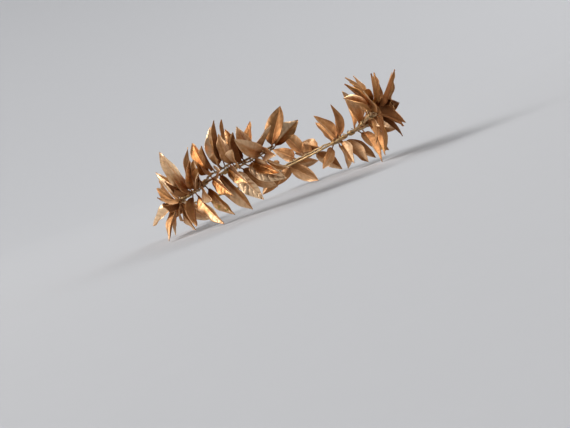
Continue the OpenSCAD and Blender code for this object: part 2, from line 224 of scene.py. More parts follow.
# Sizes and colours
class CrownBand(bpy.types.PropertyGroup):
    """The wire oval that carries everything"""
    half_width: FloatProperty(
        name="Half width", unit="LENGTH", default=0.080, min=0.074, max=0.090,
        description="Half of the widest width of the band, to the middle of its wire")
    back: FloatProperty(
        name="Back depth", unit="LENGTH", default=0.088, min=0.080, max=0.096,
        description="Depth of the band behind its widest place")
    front: FloatProperty(
        name="Front depth", unit="LENGTH", default=0.115, min=0.108, max=0.124,
        description="Depth that the front curve would reach ahead of the widest place")
    end_angle: FloatProperty(
        name="End angle", subtype="ANGLE", default=math.radians(146), min=2.4, max=2.7,
        description="Angle from the nape round to each front end")
    wire: FloatProperty(
        name="Wire diameter", unit="LENGTH", default=0.0018, min=0.0014, max=0.0022,
        description="Diameter of the band wire")
    rest_tilt: FloatProperty(
        name="Rest tilt", subtype="ANGLE", default=math.radians(8.5), min=0, max=0.2,
        description="How far the front is up as the crown rests on its lowest leaves")
    colour: FloatVectorProperty(
        name="Wire colour", subtype="COLOR", size=3, min=0, max=1,
        default=(0.52, 0.34, 0.16), description="Colour of the dulled brass wire")


class CrownTwig(bpy.types.PropertyGroup):
    """The twigs that the leaves grow on"""
    thick: FloatProperty(
        name="Tied end", unit="LENGTH", default=0.0016, min=0.0014, max=0.002,
        description="Diameter of a twig at its tied end")
    thin: FloatProperty(
        name="Growing end", unit="LENGTH", default=0.0012, min=0.0011, max=0.0014,
        description="Diameter of a twig at its growing end")
    lean: FloatProperty(
        name="Lean", unit="LENGTH", default=0.0042, min=0.0039, max=0.0055,
        description="How far a growing twig leans away from the band, middle to middle")
    lean_length: FloatProperty(
        name="Lean length", unit="LENGTH", default=0.008, min=0.006, max=0.012,
        description="Length of band over which a twig leans away")
    stub: FloatProperty(
        name="Stub", unit="LENGTH", default=0.002, min=0.0015, max=0.004,
        description="Length of a twig that sticks out behind its binding")
    gap: FloatProperty(
        name="Gap", unit="LENGTH", default=0.00012, min=0.0001, max=0.0002,
        description="Clearance between a twig and the band where they are tied")
    swelling: FloatProperty(
        name="Swelling", default=0.28, min=0, max=0.5,
        description="How much thicker the twig is where a leaf grows, as a share")
    colour: FloatVectorProperty(
        name="Twig colour", subtype="COLOR", size=3, min=0, max=1,
        default=(0.54, 0.35, 0.165), description="Colour of the thinly painted twig")


class CrownLeaf(bpy.types.PropertyGroup):
    """The painted laurel leaves"""
    length: FloatProperty(
        name="Length", unit="LENGTH", default=0.034, min=0.028, max=0.038,
        description="Length of a full-size leaf blade")
    width: FloatProperty(
        name="Width", unit="LENGTH", default=0.0158, min=0.011, max=0.017,
        description="Width of a full-size leaf blade, laid flat")
    stalk: FloatProperty(
        name="Stalk", unit="LENGTH", default=0.0034, min=0.0026, max=0.0044,
        description="Length of the stalk between the twig and the blade")
    stalk_width: FloatProperty(
        name="Stalk width", unit="LENGTH", default=0.001, min=0.0008, max=0.0011,
        description="Width of the stalk")
    thickness: FloatProperty(
        name="Thickness", unit="LENGTH", default=0.00036, min=0.0002, max=0.0006,
        description="Thickness of the blade between its veins")
    pairs: IntProperty(
        name="Vein pairs", default=7, min=4, max=12,
        description="Side veins on each half of the blade")
    sweep: FloatProperty(
        name="Vein sweep", default=0.15, min=0, max=0.3,
        description="How far the side veins run towards the tip, as a share of the blade")
    quilt: FloatProperty(
        name="Quilting", unit="LENGTH", default=0.00038, min=0, max=0.001,
        description="How deep the strongest side veins are sunk into the upper face")
    bright: FloatVectorProperty(
        name="Bright paint", subtype="COLOR", size=3, min=0, max=1,
        default=(0.90, 0.63, 0.385), description="Colour of the thickest copper-gold paint")
    middle: FloatVectorProperty(
        name="Middle paint", subtype="COLOR", size=3, min=0, max=1,
        default=(0.485, 0.234, 0.088), description="Colour of most of the paint")
    # The tone runs down to this colour, also where painted shade darkens a leaf's base, veins
    # and shaded half.
    dark: FloatVectorProperty(
        name="Dark paint", subtype="COLOR", size=3, min=0, max=1,
        default=(0.150, 0.036, 0.002), description="Colour of the thinnest paint")
    bare: FloatVectorProperty(
        name="Bare leaf", subtype="COLOR", size=3, min=0, max=1,
        default=(0.27, 0.19, 0.035), description="Colour of leaf that the paint missed")


class CrownBinding(bpy.types.PropertyGroup):
    """The fine wire that ties each twig to the band"""
    length: FloatProperty(
        name="Length", unit="LENGTH", default=0.006, min=0.005, max=0.007,
        description="Length of a binding along the band")
    wire: FloatProperty(
        name="Wire diameter", unit="LENGTH", default=0.0007, min=0.0005, max=0.0009,
        description="Diameter of the binding wire")
    slack: FloatProperty(
        name="Slack", unit="LENGTH", default=0.00004, min=0, max=0.0002,
        description="Room between the binding and the two wires inside it")
    tail: FloatProperty(
        name="Tail", unit="LENGTH", default=0.0016, min=0, max=0.004,
        description="Length of the cut end that stands off")
    colour: FloatVectorProperty(
        name="Wire colour", subtype="COLOR", size=3, min=0, max=1,
        default=(0.62, 0.40, 0.18), description="Colour of the bright binding wire")


class CrownStage(bpy.types.PropertyGroup):
    """Floor, backdrop, lights and camera"""
    backdrop: FloatVectorProperty(
        name="Backdrop", subtype="COLOR", size=3, min=0, max=1,
        default=(0.505, 0.513, 0.53), description="Colour of the floor and backdrop")
    azimuth: FloatProperty(
        name="Azimuth", subtype="ANGLE", default=math.radians(-28),
        description="Camera's angle round the crown, from straight in front")
    elevation: FloatProperty(
        name="Elevation", subtype="ANGLE", default=math.radians(1.5),
        description="Camera's angle above the middle of the band")
    roll: FloatProperty(
        name="Roll", subtype="ANGLE", default=math.radians(-20),
        description="Camera's turn about its own line of sight")
    distance: FloatProperty(
        name="Distance", unit="LENGTH", default=1.3, min=0.5, max=3,
        description="From the camera to the middle of the band")
    scale: FloatProperty(
        name="Pixels a metre", default=1210, min=500, max=3000,
        description="Size of the crown in the picture, at the middle of the band")


# Shapes of the crown
UP = np.array([0.0, 0.0, 1.0])

# Facets of the packed band wire: rings along it, sides round it
PACKED_RINGS, PACKED_SIDES = 49, 8


def unit(v):
    """Vectors of length 1."""
    return v / np.linalg.norm(v, axis=-1, keepdims=True)


def ease(x):
    """0 below 0, 1 above 1, and 3x^2 - 2x^3 between."""
    x = np.clip(x, 0, 1)
    return x * x * (3 - 2 * x)


def draw(rng, spans):
    """One random value within each named span, drawn in the table's order."""
    return SimpleNamespace(**{name: rng.uniform(*span) for name, span in spans.items()})


def oval(angle, band):
    """The band at angles from the nape: its point (half width x sine, depth x cosine, 0), the
    way forward along it and the way out. The depth differs behind and ahead of its widest
    place."""
    s, c = np.sin(angle), np.cos(angle)
    depth = np.where(c > 0, band.back, band.front)
    wide, zero = band.half_width, np.zeros_like(s)
    return (np.stack([wide * s, depth * c, zero], -1),
            unit(np.stack([wide * c, -depth * s, zero], -1)),
            unit(np.stack([depth * s, wide * c, zero], -1)))


def band_per_radian(angle, band):
    """Length of band in one radian of its angle."""
    depth = band.back if math.cos(angle) > 0 else band.front
    return math.hypot(band.half_width * math.cos(angle), depth * math.sin(angle))


class Sprig:
    """One sprig's place on the band, with its angles in radians."""

    def __init__(self, name, scene):
        side, start, end, around, rows = SPRIGS[name]
        self.side, self.number, self.rows = side, int(name[-1]), rows
        self.start, self.end, self.around = (math.radians(a) for a in (start, end, around))
        self.band, self.twig, self.tie = scene.crown_band, scene.crown_twig, scene.crown_binding
        self.toward = 1 if self.end > self.start else -1
        self.per_radian = band_per_radian(self.start, self.band)
        self.tied_apart = (self.band.wire + self.twig.thick) / 2 + self.twig.gap
        self.tied_length = self.twig.stub + self.tie.length + self.tie.wire

    def angle(self, share):
        return self.start + (self.end - self.start) * share

    def along(self, share):
        """Length of band from the tied end, in metres."""
        return abs(self.end - self.start) * share * self.per_radian

    def beside(self, angle):
        """Way from the band's middle to the twig's, round the wire by the sprig's angle."""
        out = oval(angle, self.band)[2]
        return math.cos(self.around) * out + math.sin(self.around) * UP

    def free(self, share):
        """0 where the twig is tied down, 1 where it has leaned away."""
        return ease((self.along(share) - self.tied_length) / self.twig.lean_length)

    def line(self, share):
        """The twig's middle line: beside the band as far as its binding, then leaning away."""
        share = np.asarray(share, float)
        angle = self.angle(share)
        apart = self.tied_apart + (self.twig.lean - self.tied_apart) * self.free(share)
        return oval(angle, self.band)[0] + apart[..., None] * self.beside(angle)

    def heading(self, share, swing, lift):
        """Way that a leaf or shoot grows, and the way square to it that faces away."""
        _, forward, outward = oval(np.asarray(self.angle(share)), self.band)
        swing, lift = math.radians(swing), math.radians(lift)
        run = math.cos(swing) * forward + math.sin(swing) * UP
        return (math.cos(lift) * run + math.sin(lift) * outward,
                math.cos(lift) * outward - math.sin(lift) * run)


def tilted(points, band):
    """Points turned about X by the rest tilt, which lifts the front."""
    c, s = math.cos(band.rest_tilt), math.sin(band.rest_tilt)
    x, y, z = points[..., 0], points[..., 1], points[..., 2]
    return np.stack([x, y * c + z * s, z * c - y * s], -1)


def lie_down(points, band, side=1):
    """Mirrors points in the band's frame to their side, tilts them, and moves them so that the
    band wire's box is the packed one."""
    angle = np.linspace(-band.end_angle, band.end_angle, PACKED_RINGS)[:, None]
    turn = np.arange(PACKED_SIDES) * 2 * math.pi / PACKED_SIDES
    middle, _, out = oval(angle + 0 * turn, band)
    rim = middle + band.wire / 2 * (np.cos(turn)[:, None] * out + np.sin(turn)[:, None] * UP)
    move = np.array(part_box("band_wire")[0]) - tilted(rim, band).reshape(-1, 3).min(0)
    return tilted(points * np.array([side, 1, 1]), band) + move


# Outline of a blade: where it is widest, as a share of its length, and the power that rounds
# its base
WIDEST_AT = 0.41
BASE_POWER = 0.7

# Grid of a leaf: rings along the blade and the stalk, columns from the midrib to an edge, the
# power that bends a column towards the tip, and the arc of stalk that each half skin covers
BLADE_RINGS, STALK_RINGS = 64, 4
HALF_COLUMNS = (0.06, 0.16, 0.30, 0.45, 0.60, 0.74, 0.86, 0.955, 1)
COLUMN_POWER = 1.2
STALK_ARC = math.radians(85)

# Where each form starts or ends along the blade, as shares of its length
STALK_ENDS = 0.09
FOLD_OPENS = 0.10
DOMES_OPEN = 0.2
CRUMPLES_OPEN = 0.3
FLICK_STARTS = 0.7

# How far from the midrib the veins and the halves' painted shade are held back, as a share of
# the half-width
RIB_REACH = 1 / 6

# Thin forms of a leaf, in metres: half-width at the tip, rounding of the fold, half-width of
# the rib, how far it stands out above and below, how far a strong vein does below, and the
# height of the crumpling on a full-size leaf
TIP_HALF_WIDTH = 0.12e-3
FOLD_ROUNDING = 0.5e-3
RIB_HALF_WIDTH = 0.42e-3
RIB_ABOVE = 0.06e-3
RIB_BELOW = 0.34e-3
VEIN_BELOW = 0.05e-3
CRUMPLE = 0.55e-3

# Where the stalk's own width ends as it thins out along the rib, as a share of the blade's
# length, its least width before that, as a share of the stalk's, and how much thinner the
# blade is at its edge, as a share of its thickness
STALK_RIB_ENDS = 0.5
LEAST_RIB = 0.25
EDGE_THINNER = 0.35

# Side veins: width as a share of the room between two, power of their bell, how unevenly they
# are spaced along the blade and how fast that changes, how far the right half's are ahead, how
# much their strength varies and how fast, and the shares of the blade and of the half-width
# over which they fade at the base, the tip and the edge
VEIN_WIDTH, VEIN_POWER = 0.32, 1.5
VEIN_UNEVEN, VEIN_UNEVEN_RATE = 0.016, 31
RIGHT_VEINS_AHEAD = 0.035
VEIN_VARIES, VEIN_VARIES_RATE = 0.20, 17
BASE_FADE, TIP_FADE, EDGE_FADE = 0.06, 0.08, 0.20
RIB_FADE_POWER = 0.7

# How deep and how dark the veins are on a leaf whose row gives them no strength
FAINT_QUILT = 0.3
FAINT_PAINT = 0.2

# Waves of the crumpling, as radians along the blade and across its half-width. The first two
# are multiplied, and the third adds a share of the height.
CRUMPLE_LONG = (5.1, 2.3)
CRUMPLE_SLANT = (3.4, -2.9)
CRUMPLE_SHORT = (9.7, 4.1)
SHORT_SHARE = 0.5

# What differs from leaf to leaf, by chance within these spans, in the order of the draws:
# height of the domes (share of the half-width), turn-up of the tip (share of the length),
# twist at the tip in radians, sideways bend of the tip (share of the length), height of the
# edge's waves on a full-size leaf in metres, number of waves, where each half's start, and how
# many times its row's fold it has
SHAPE_SPANS = {
    "dome": (0.05, 0.14),
    "flick": (-0.10, 0.28),
    "twist": (math.radians(-15), math.radians(15)),
    "side_bend": (-0.05, 0.05),
    "wave": (0.4e-3, 1.1e-3),
    "beats": (1.3, 2.4),
    "left_phase": (0, 2 * math.pi),
    "right_phase": (0, 2 * math.pi),
    "more_fold": (1.0, 1.5),
}

# The same for the paint: place in the noise, how far the halves differ in tone, a painted shade
# that lights one half of the fold and darkens the other, and the leaf's own change of tone
SEED_SPAN = (0, 40)
HALF_SHADE_SPAN = (0.1, 0.4)
TONE_SPAN = (-0.08, 0.08)

# How the paint's tone changes over a leaf: brighter towards the tip, from a place along the
# blade, and darker at the base, up to a place along it, partly thinner paint near the stem and
# partly painted shade there, and brighter at the edge, partly paint gathered there and partly a
# painted highlight along the rim
TIP_BRIGHTER, TIP_FROM = 0.45, 0.45
BASE_PAINTED_SHADE, BASE_TO = 0.55, 0.3
EDGE_PAINT_AND_HIGHLIGHT, EDGE_POWER = 0.25, 6

# The underside: how much more matt it is, shares of the veins and bare spots that show, and
# its step in the noise
UNDER_MATT = 0.5
UNDER_VEIN = 0.25
UNDER_BARE = 0.5
UNDER_SEED = 50


def ovate(t):
    """Half-width of a laurel blade as a share of its greatest, from base 0 to tip 1: a power of
    the way to the widest place times the even way back to the tip."""
    t = np.clip(t, 0, 1)
    return (t / WIDEST_AT) ** BASE_POWER * (1 - t) / (1 - WIDEST_AT)


class LeafGrid:
    """The two parameters of a leaf, over a grid of rings and columns.

    a runs from the foot of the stalk, below 0, by the blade's base at 0 to its tip at 1, in
    steps that get finer at both ends. v runs from edge to edge, -1 to 1, with the midrib at 0,
    and off is |v|. A column runs forward as it goes out, as the side veins do: t = a + sweep
    off^1.2 sin(pi a). on is t kept between 0 and 1, and stalky is 1 on the stalk, 0 on the
    blade."""

    def __init__(self, leaf, length):
        even = np.linspace(0, 1, BLADE_RINGS)
        blade = (even + (1 - np.cos(math.pi * even)) / 2) / 2
        stalk = np.linspace(-leaf.stalk / length, 0, STALK_RINGS, endpoint=False)
        a = np.concatenate([stalk, blade])[:, None]
        half = np.array(HALF_COLUMNS)
        self.v = np.concatenate([-half[::-1], [0], half])[None, :]
        self.off = np.abs(self.v)
        self.off_rib = np.clip(self.off / RIB_REACH, 0, 1)
        self.inside = np.clip(a, 0, 1)
        self.t = a + leaf.sweep * self.off ** COLUMN_POWER * np.sin(math.pi * self.inside)
        self.on = np.clip(self.t, 0, 1)
        self.stalky = 1 - ease(self.t / STALK_ENDS)

    def halves(self, left, right):
        """One value on the left half and another on the right."""
        return np.where(self.v < 0, left, right)

    def join(self, blade, stalk):
        """A value of the blade that becomes the stalk's at the base."""
        return blade * (1 - self.stalky) + stalk * self.stalky


def half_width(grid, leaf, size):
    """Half of the leaf's width at each point's t: the root of the sum of the squares of the
    ovate blade and of the stalk, which thins out as the rib, or of the tip's own width."""
    blade = size * leaf.width / 2 * ovate(grid.t)
    rib = leaf.stalk_width / 2 * np.clip(1 - grid.on / STALK_RIB_ENDS, LEAST_RIB, 1)
    return np.where(grid.t > STALK_RIB_ENDS, np.hypot(blade, TIP_HALF_WIDTH),
                    np.hypot(blade, rib))


def side_veins(grid, phase, leaf):
    """How strongly a side vein runs at each point, from 0 to 1: a bell round each of the even
    places along the blade, moved a little by a sine, times a sine for its strength, fading
    at the rib, the edge, the base and the tip."""
    place = (grid.inside + VEIN_UNEVEN * np.sin(grid.inside * VEIN_UNEVEN_RATE + phase)
             + grid.halves(0, RIGHT_VEINS_AHEAD))
    between = np.abs((place * leaf.pairs) % 1 - 0.5) * 2
    bell = np.exp(-(between / VEIN_WIDTH) ** VEIN_POWER)
    ends = ease(grid.inside / BASE_FADE) * ease((1 - grid.inside) / TIP_FADE)
    strength = 1 - VEIN_VARIES * (1 - np.sin(grid.inside * VEIN_VARIES_RATE + 2 * phase))
    edge = 1 - ease((grid.off - (1 - EDGE_FADE)) / EDGE_FADE)
    return bell * ends * strength * grid.off_rib ** RIB_FADE_POWER * edge


def vein_strength(row, least):
    """Share of the strongest veins that a leaf has, from the least, by the square of its row's
    value."""
    return least + (1 - least) * row[VEINS] ** 2


def crumpling(grid, phases):
    """Uneven height of a dried leaf, from -1.5 to 1.5: the product of two slanting sines and
    half of a shorter one."""
    def wave(rates, phase):
        return np.sin(rates[0] * grid.on + rates[1] * grid.v + phase)
    return (wave(CRUMPLE_LONG, phases[0]) * wave(CRUMPLE_SLANT, phases[1])
            + SHORT_SHARE * wave(CRUMPLE_SHORT, phases[1]))


def leaf_rise(grid, wide, fold, vein, row, leaf, chance):
    """Height of the leaf's sheet over its middle plane: the fold, rounded at the rib, a dome
    on each half, a wave that grows as the cube of the way to the edge, the crumpling, and
    less a hollow along each vein."""
    off, on, size = grid.off, grid.on, row[SIZE]
    out = off * wide
    folded = np.sin(fold) * (np.sqrt(out ** 2 + FOLD_ROUNDING ** 2) - FOLD_ROUNDING)
    domed = chance.dome * wide * 4 * off * (1 - off) * ease(on / DOMES_OPEN)
    phase = grid.halves(chance.left_phase, chance.right_phase)
    waved = (chance.wave * size * off ** 3 * np.sin(math.pi * on)
             * np.sin(2 * math.pi * chance.beats * on + phase))
    crumpled = (CRUMPLE * size * crumpling(grid, (chance.left_phase, chance.right_phase))
                * off * ease(on / CRUMPLES_OPEN))
    hollow = leaf.quilt * vein_strength(row, FAINT_QUILT) * vein
    return grid.join(folded + domed + waved + crumpled - hollow, 0)


def leaf_frame(grid, sprig, row, leaf, length, chance):
    """The midrib's point at each t, with the ways aside and up there. The midrib is an arc of
    the row's bend, turned about itself by the row's roll, with a twist and a sideways bend
    that grow as the square of t, and a turn-up of its last stretch."""
    curl, roll = math.radians(row[CURL]), math.radians(row[ROLL])
    radius = length / curl
    way, face = sprig.heading(row[AT], row[SWING], row[LIFT])
    face = math.cos(roll) * face + math.sin(roll) * np.cross(way, face)
    side = np.cross(way, face)
    bend = (curl * grid.t)[..., None]
    middle = (sprig.line(row[AT]) + way * (leaf.stalk + radius * np.sin(bend))
              - face * radius * (1 - np.cos(bend)))
    up = np.cos(bend) * face + np.sin(bend) * way
    turn = (chance.twist * grid.on ** 2)[..., None]
    aside = np.cos(turn) * side + np.sin(turn) * up
    up = np.cos(turn) * up - np.sin(turn) * side
    sideways = chance.side_bend * length * grid.on ** 2
    flicked = chance.flick * length * np.clip(grid.on - FLICK_STARTS, 0, 1) ** 2
    return middle + side * sideways[..., None] + up * flicked[..., None], aside, up


def leaf_ring(upper, lower, right, left):
    """Values once round each ring: along the upper skin, the right lip, back along the lower
    skin and the left lip."""
    return np.concatenate([upper, right, lower[:, ::-1], left], 1)


def both_sides(upper, lower):
    """Values once round each ring, with the mean of both skins at the lips."""
    mean = (upper + lower) / 2
    return leaf_ring(upper, lower, mean[:, -1:], mean[:, :1])


def leaf_paint(grid, vein, row, rng):
    """The paint's values at each point. The tone is the row's, changed by the leaf's chance, by
    half as painted shade on the fold, towards the tip, at the base, where it is partly painted
    shade, and at the edge, where it is partly a painted highlight."""
    whole = np.ones_like(grid.t)
    seed = rng.uniform(*SEED_SPAN)
    # One half of the fold is painted lighter and the other darker, as painted light and shade.
    halves = grid.halves(-1, 1) * rng.uniform(*HALF_SHADE_SPAN) * rng.choice((-1, 1))
    # Darker at the base partly as painted shade, brighter at the edge partly as a painted
    # highlight.
    tone = (row[TONE] + rng.uniform(*TONE_SPAN) + halves * grid.off_rib
            + TIP_BRIGHTER * (grid.on - TIP_FROM)
            - BASE_PAINTED_SHADE * (1 - ease(grid.t / BASE_TO))
            + EDGE_PAINT_AND_HIGHLIGHT * grid.off ** EDGE_POWER)
    matt = whole * row[MATT]
    return {
        "leaf_tone": both_sides(tone, tone),
        "leaf_matt": both_sides(matt, np.minimum(1, matt + UNDER_MATT)),
        "leaf_vein": both_sides(vein * vein_strength(row, FAINT_PAINT), vein * UNDER_VEIN),
        "leaf_bare": both_sides(whole * row[BARE], whole * row[BARE] * UNDER_BARE),
        "leaf_seed": both_sides(whole * seed, whole * (seed + UNDER_SEED)),
    }


def leaf_surface(sprig, row, leaf, rng):
    """One leaf as closed rings of points, from the stalk's foot to the tip, with its paint.

    A point of the sheet stands v times the half-width to the side of the midrib, shortened by
    the fold, and rises as leaf_rise says. The upper and lower skins are a thickness apart,
    with the rib standing out below, and both turn into a round stalk at the base."""
    size = row[SIZE]
    length, stalk_r = size * leaf.length, leaf.stalk_width / 2
    chance = draw(rng, SHAPE_SPANS)
    grid = LeafGrid(leaf, length)
    wide = half_width(grid, leaf, size)
    fold = math.radians(row[FOLD] * chance.more_fold) * ease(grid.t / FOLD_OPENS)
    vein = side_veins(grid, grid.halves(chance.left_phase, chance.right_phase), leaf)
    rise = leaf_rise(grid, wide, fold, vein, row, leaf, chance)
    across = grid.join(grid.v * wide * np.cos(fold), np.sin(grid.v * STALK_ARC) * stalk_r)

    middle, aside, up = leaf_frame(grid, sprig, row, leaf, length, chance)
    sheet = middle + aside * across[..., None] + up * rise[..., None]
    ridge = (np.exp(-(grid.off * wide / RIB_HALF_WIDTH) ** 2)
             * np.sqrt(np.clip(1 - grid.on, 0, 1)))
    body = leaf.thickness / 2 * (1 - EDGE_THINNER * grid.off ** 4)
    stalk_skin = stalk_r * np.cos(grid.v * STALK_ARC)
    above = grid.join(body + RIB_ABOVE * ridge, stalk_skin)
    below = grid.join(body + RIB_BELOW * ridge + VEIN_BELOW * row[VEINS] * vein, stalk_skin)
    top = sheet + up * above[..., None]
    under = sheet - up * below[..., None]
    edge = (top + under) / 2
    lip = grid.join(leaf.thickness / 3, 0)[..., None] * aside
    points = leaf_ring(top, under, (edge + lip)[:, -1:], (edge - lip)[:, :1])

    across_share = np.ones_like(grid.t) * (grid.v + 1) / 2
    uv = np.stack([both_sides(across_share, across_share), both_sides(grid.t, grid.t)], -1)
    return points, leaf_paint(grid, vein, row, rng), uv


# Angles of the rings that round off a tube's end
CAP_ANGLES = np.radians([80, 55, 28])


def tube(path, radius, sides, upward, end_round=1.0):
    """Closed rings round a path, with rounded ends. Each ring is a circle square to the path,
    turned so that it starts on the side of upward. At an end the circle shrinks as the cosine
    of an angle while the ring moves on by its sine, by end_round times the radius."""
    path = np.asarray(path, float)
    radius = np.broadcast_to(radius, len(path)).astype(float)
    upward = np.broadcast_to(upward, path.shape)
    ahead = unit(np.gradient(path, axis=0))
    shrink, reach = np.cos(CAP_ANGLES), end_round * np.sin(CAP_ANGLES)[:, None]
    first = path[0] - ahead[0] * radius[0] * reach
    last = path[-1] + ahead[-1] * radius[-1] * reach[::-1]
    middle = np.concatenate([first, path, last])
    size = np.concatenate([radius[0] * shrink, radius, radius[-1] * shrink[::-1]])
    more_rings = ((len(CAP_ANGLES), len(CAP_ANGLES)), (0, 0))
    ahead = np.pad(ahead, more_rings, mode="edge")
    upward = np.pad(upward, more_rings, mode="edge")
    left = unit(np.cross(upward, ahead))
    top = np.cross(ahead, left)
    turn = np.arange(sides) * 2 * math.pi / sides
    points = middle[:, None] + size[:, None, None] * (
        np.cos(turn)[:, None] * top[:, None] + np.sin(turn)[:, None] * left[:, None])
    along = np.concatenate([[0], np.cumsum(np.linalg.norm(np.diff(middle, axis=0), axis=1))])
    uv = np.stack(np.broadcast_arrays(np.arange(sides) / sides, along[:, None]), -1)
    return points, {}, uv


# A twig: rings and sides, how rounded its ends are, reach of the swelling at a leaf, its fine
# ripple (share of the radius, radians a metre) and its sway (metres, radians a metre)
TWIG_RINGS, TWIG_SIDES, TWIG_END = 150, 16, 0.35
SWELLING_REACH = 0.9e-3
RIPPLE, RIPPLE_RATE = 0.03, 2600
SWAY, SWAY_RATE = 0.28e-3, 700

# A cut side shoot: rings and sides, how rounded its end is, radius at its foot and how much
# less at its end, and how far it bends, in metres
SHOOT_RINGS, SHOOT_SIDES, SHOOT_END = 8, 10, 0.25
SHOOT_RADIUS, SHOOT_TAPER = 0.55e-3, 0.12e-3
SHOOT_BEND = 0.3e-3

# Highest phase that is drawn for a sine, in radians
MOST_PHASE = 6


def twig_surfaces(sprig, rng):
    """A twig and the cut shoots on it, as tubes. The twig's radius goes evenly from its thick
    to its thin end and swells as a bell where each leaf grows, and it sways as a sine."""
    twig = sprig.twig
    share = np.linspace(0, 1, TWIG_RINGS)
    along, free = sprig.along(share), sprig.free(share)
    radius = (twig.thick + (twig.thin - twig.thick) * share) / 2
    bells = [np.exp(-((along - sprig.along(row[AT])) / SWELLING_REACH) ** 2)
             for row in sprig.rows]
    swelling = twig.swelling * np.clip(np.sum(bells, 0), 0, 1)
    radius = radius * (1 + (swelling + RIPPLE * np.sin(along * RIPPLE_RATE)) * free)
    sway = SWAY * np.sin(along * SWAY_RATE + rng.uniform(0, MOST_PHASE)) * free
    path = sprig.line(share) + sway[:, None] * UP
    out = oval(sprig.angle(share), sprig.band)[2]
    made = [tube(path, radius, TWIG_SIDES, out, TWIG_END)]
    for place, swing, lift, length in CUT_SHOOTS:
        way, face = sprig.heading(place, swing + SHOOT_TURN * sprig.number, lift)
        reach = np.linspace(0, 1, SHOOT_RINGS)
        line = (sprig.line(place) + way * (reach * (length + radius[0]))[:, None]
                + face * (SHOOT_BEND * reach ** 2)[:, None])
        thick = SHOOT_RADIUS - SHOOT_TAPER * reach
        made.append(tube(line, thick, SHOOT_SIDES, face, SHOOT_END))
    return made


# Points on each of the two arcs of the loop that a binding follows
ARC_STEPS = 60

# A binding: steps in one turn, sides of the wire and how rounded its ends are, how unevenly
# the turns lie (share of the wire, waves a turn), and the steps in which its end stands off
TURN_STEPS = 44
WINDING_SIDES, WINDING_END = 10, 0.4
WINDING_UNEVEN, UNEVEN_WAVES = 0.07, 0.37
TAIL_STEPS = 14


def racetrack(first_r, second_r, apart, steps):
    """A taut loop round two circles side by side, as distances along and square to the line
    between their middles: arcs joined by the two straight lines that touch both circles."""
    lean = math.acos((first_r - second_r) / apart)
    near = np.linspace(lean, 2 * math.pi - lean, ARC_STEPS)
    far = np.linspace(-lean, lean, ARC_STEPS)
    x = np.concatenate([first_r * np.cos(near), apart + second_r * np.cos(far)])
    y = np.concatenate([first_r * np.sin(near), second_r * np.sin(far)])
    x, y = np.append(x, x[0]), np.append(y, y[0])
    so_far = np.concatenate([[0], np.cumsum(np.hypot(np.diff(x), np.diff(y)))])
    even = np.linspace(0, so_far[-1], steps, endpoint=False)
    return np.interp(even, so_far, x), np.interp(even, so_far, y)


def binding_surface(sprig, rng):
    """One binding: a wire wound in a close spiral round the band and the twig, on the loop that
    hugs them both, with a cut end that stands off at each side by the square of its way."""
    tie, band, twig = sprig.tie, sprig.band, sprig.twig
    turns = int(tie.length / tie.wire)
    room = tie.wire / 2 + tie.slack
    x, y = racetrack(band.wire / 2 + room, twig.thick / 2 + room, sprig.tied_apart, TURN_STEPS)
    last = turns * TURN_STEPS
    step = np.arange(last + 1)
    x, y = x[step % TURN_STEPS], y[step % TURN_STEPS]
    place = (step / last - 0.5) * (turns - 1) * tie.wire
    wave = step * 2 * math.pi / TURN_STEPS * UNEVEN_WAVES + rng.uniform(0, MOST_PHASE)
    place = place + WINDING_UNEVEN * tie.wire * np.sin(wave)
    tail = np.clip(np.maximum(TAIL_STEPS - step, step - (last - TAIL_STEPS)) / TAIL_STEPS, 0, 1)
    from_middle = x - sprig.tied_apart / 2
    stand_off = tie.tail * tail ** 2 / np.hypot(from_middle, y)
    x, y = x + from_middle * stand_off, y + y * stand_off
    centre = sprig.start + sprig.toward * (twig.stub + tie.length / 2) / sprig.per_radian
    angle = centre + place / sprig.per_radian
    point, forward, _ = oval(angle, band)
    beside = sprig.beside(angle)
    square = np.cross(forward, beside)
    path = point + beside * x[:, None] + square * y[:, None]
    return tube(path, tie.wire / 2, WINDING_SIDES, forward, WINDING_END)


# Meshes
def with_ends(rings):
    """Values of the rings in one row, followed by the mean of the first and last ring."""
    ends = np.stack([rings[0].mean(0), rings[-1].mean(0)])
    return np.concatenate([rings.reshape(-1, *rings.shape[2:]), ends])


def skin_faces(points, start, side):
    """Corners and faces of one closed skin from its rings of points, numbered from start.
    Neighbouring rings are joined by four-sided faces, and each end ring is closed by a fan
    round a point in its middle. The faces point outwards once the side is mirrored: the sum
    of the volumes under them gives the sign."""
    rings, sides = points.shape[:2]
    index = start + np.arange(rings * sides).reshape(rings, sides)
    a, b = index[:-1], index[1:]
    quads = np.stack([a, np.roll(a, -1, 1), np.roll(b, -1, 1), b], -1).reshape(-1, 4)
    first, last = start + rings * sides, start + rings * sides + 1
    fans = [np.stack([np.full(sides, first), np.roll(index[0], -1), index[0]], -1),
            np.stack([np.full(sides, last), index[-1], np.roll(index[-1], -1)], -1)]
    corners = with_ends(points)
    solid = np.concatenate([quads[:, [0, 1, 2]], quads[:, [0, 2, 3]], *fans]) - start
    p, q, r = (corners[solid[:, corner]] for corner in range(3))
    if (np.einsum("ij,ij->i", p, np.cross(q, r)).sum() < 0) != (side < 0):
        quads, fans = quads[:, ::-1], [fan[:, ::-1] for fan in fans]
    return corners, quads, fans


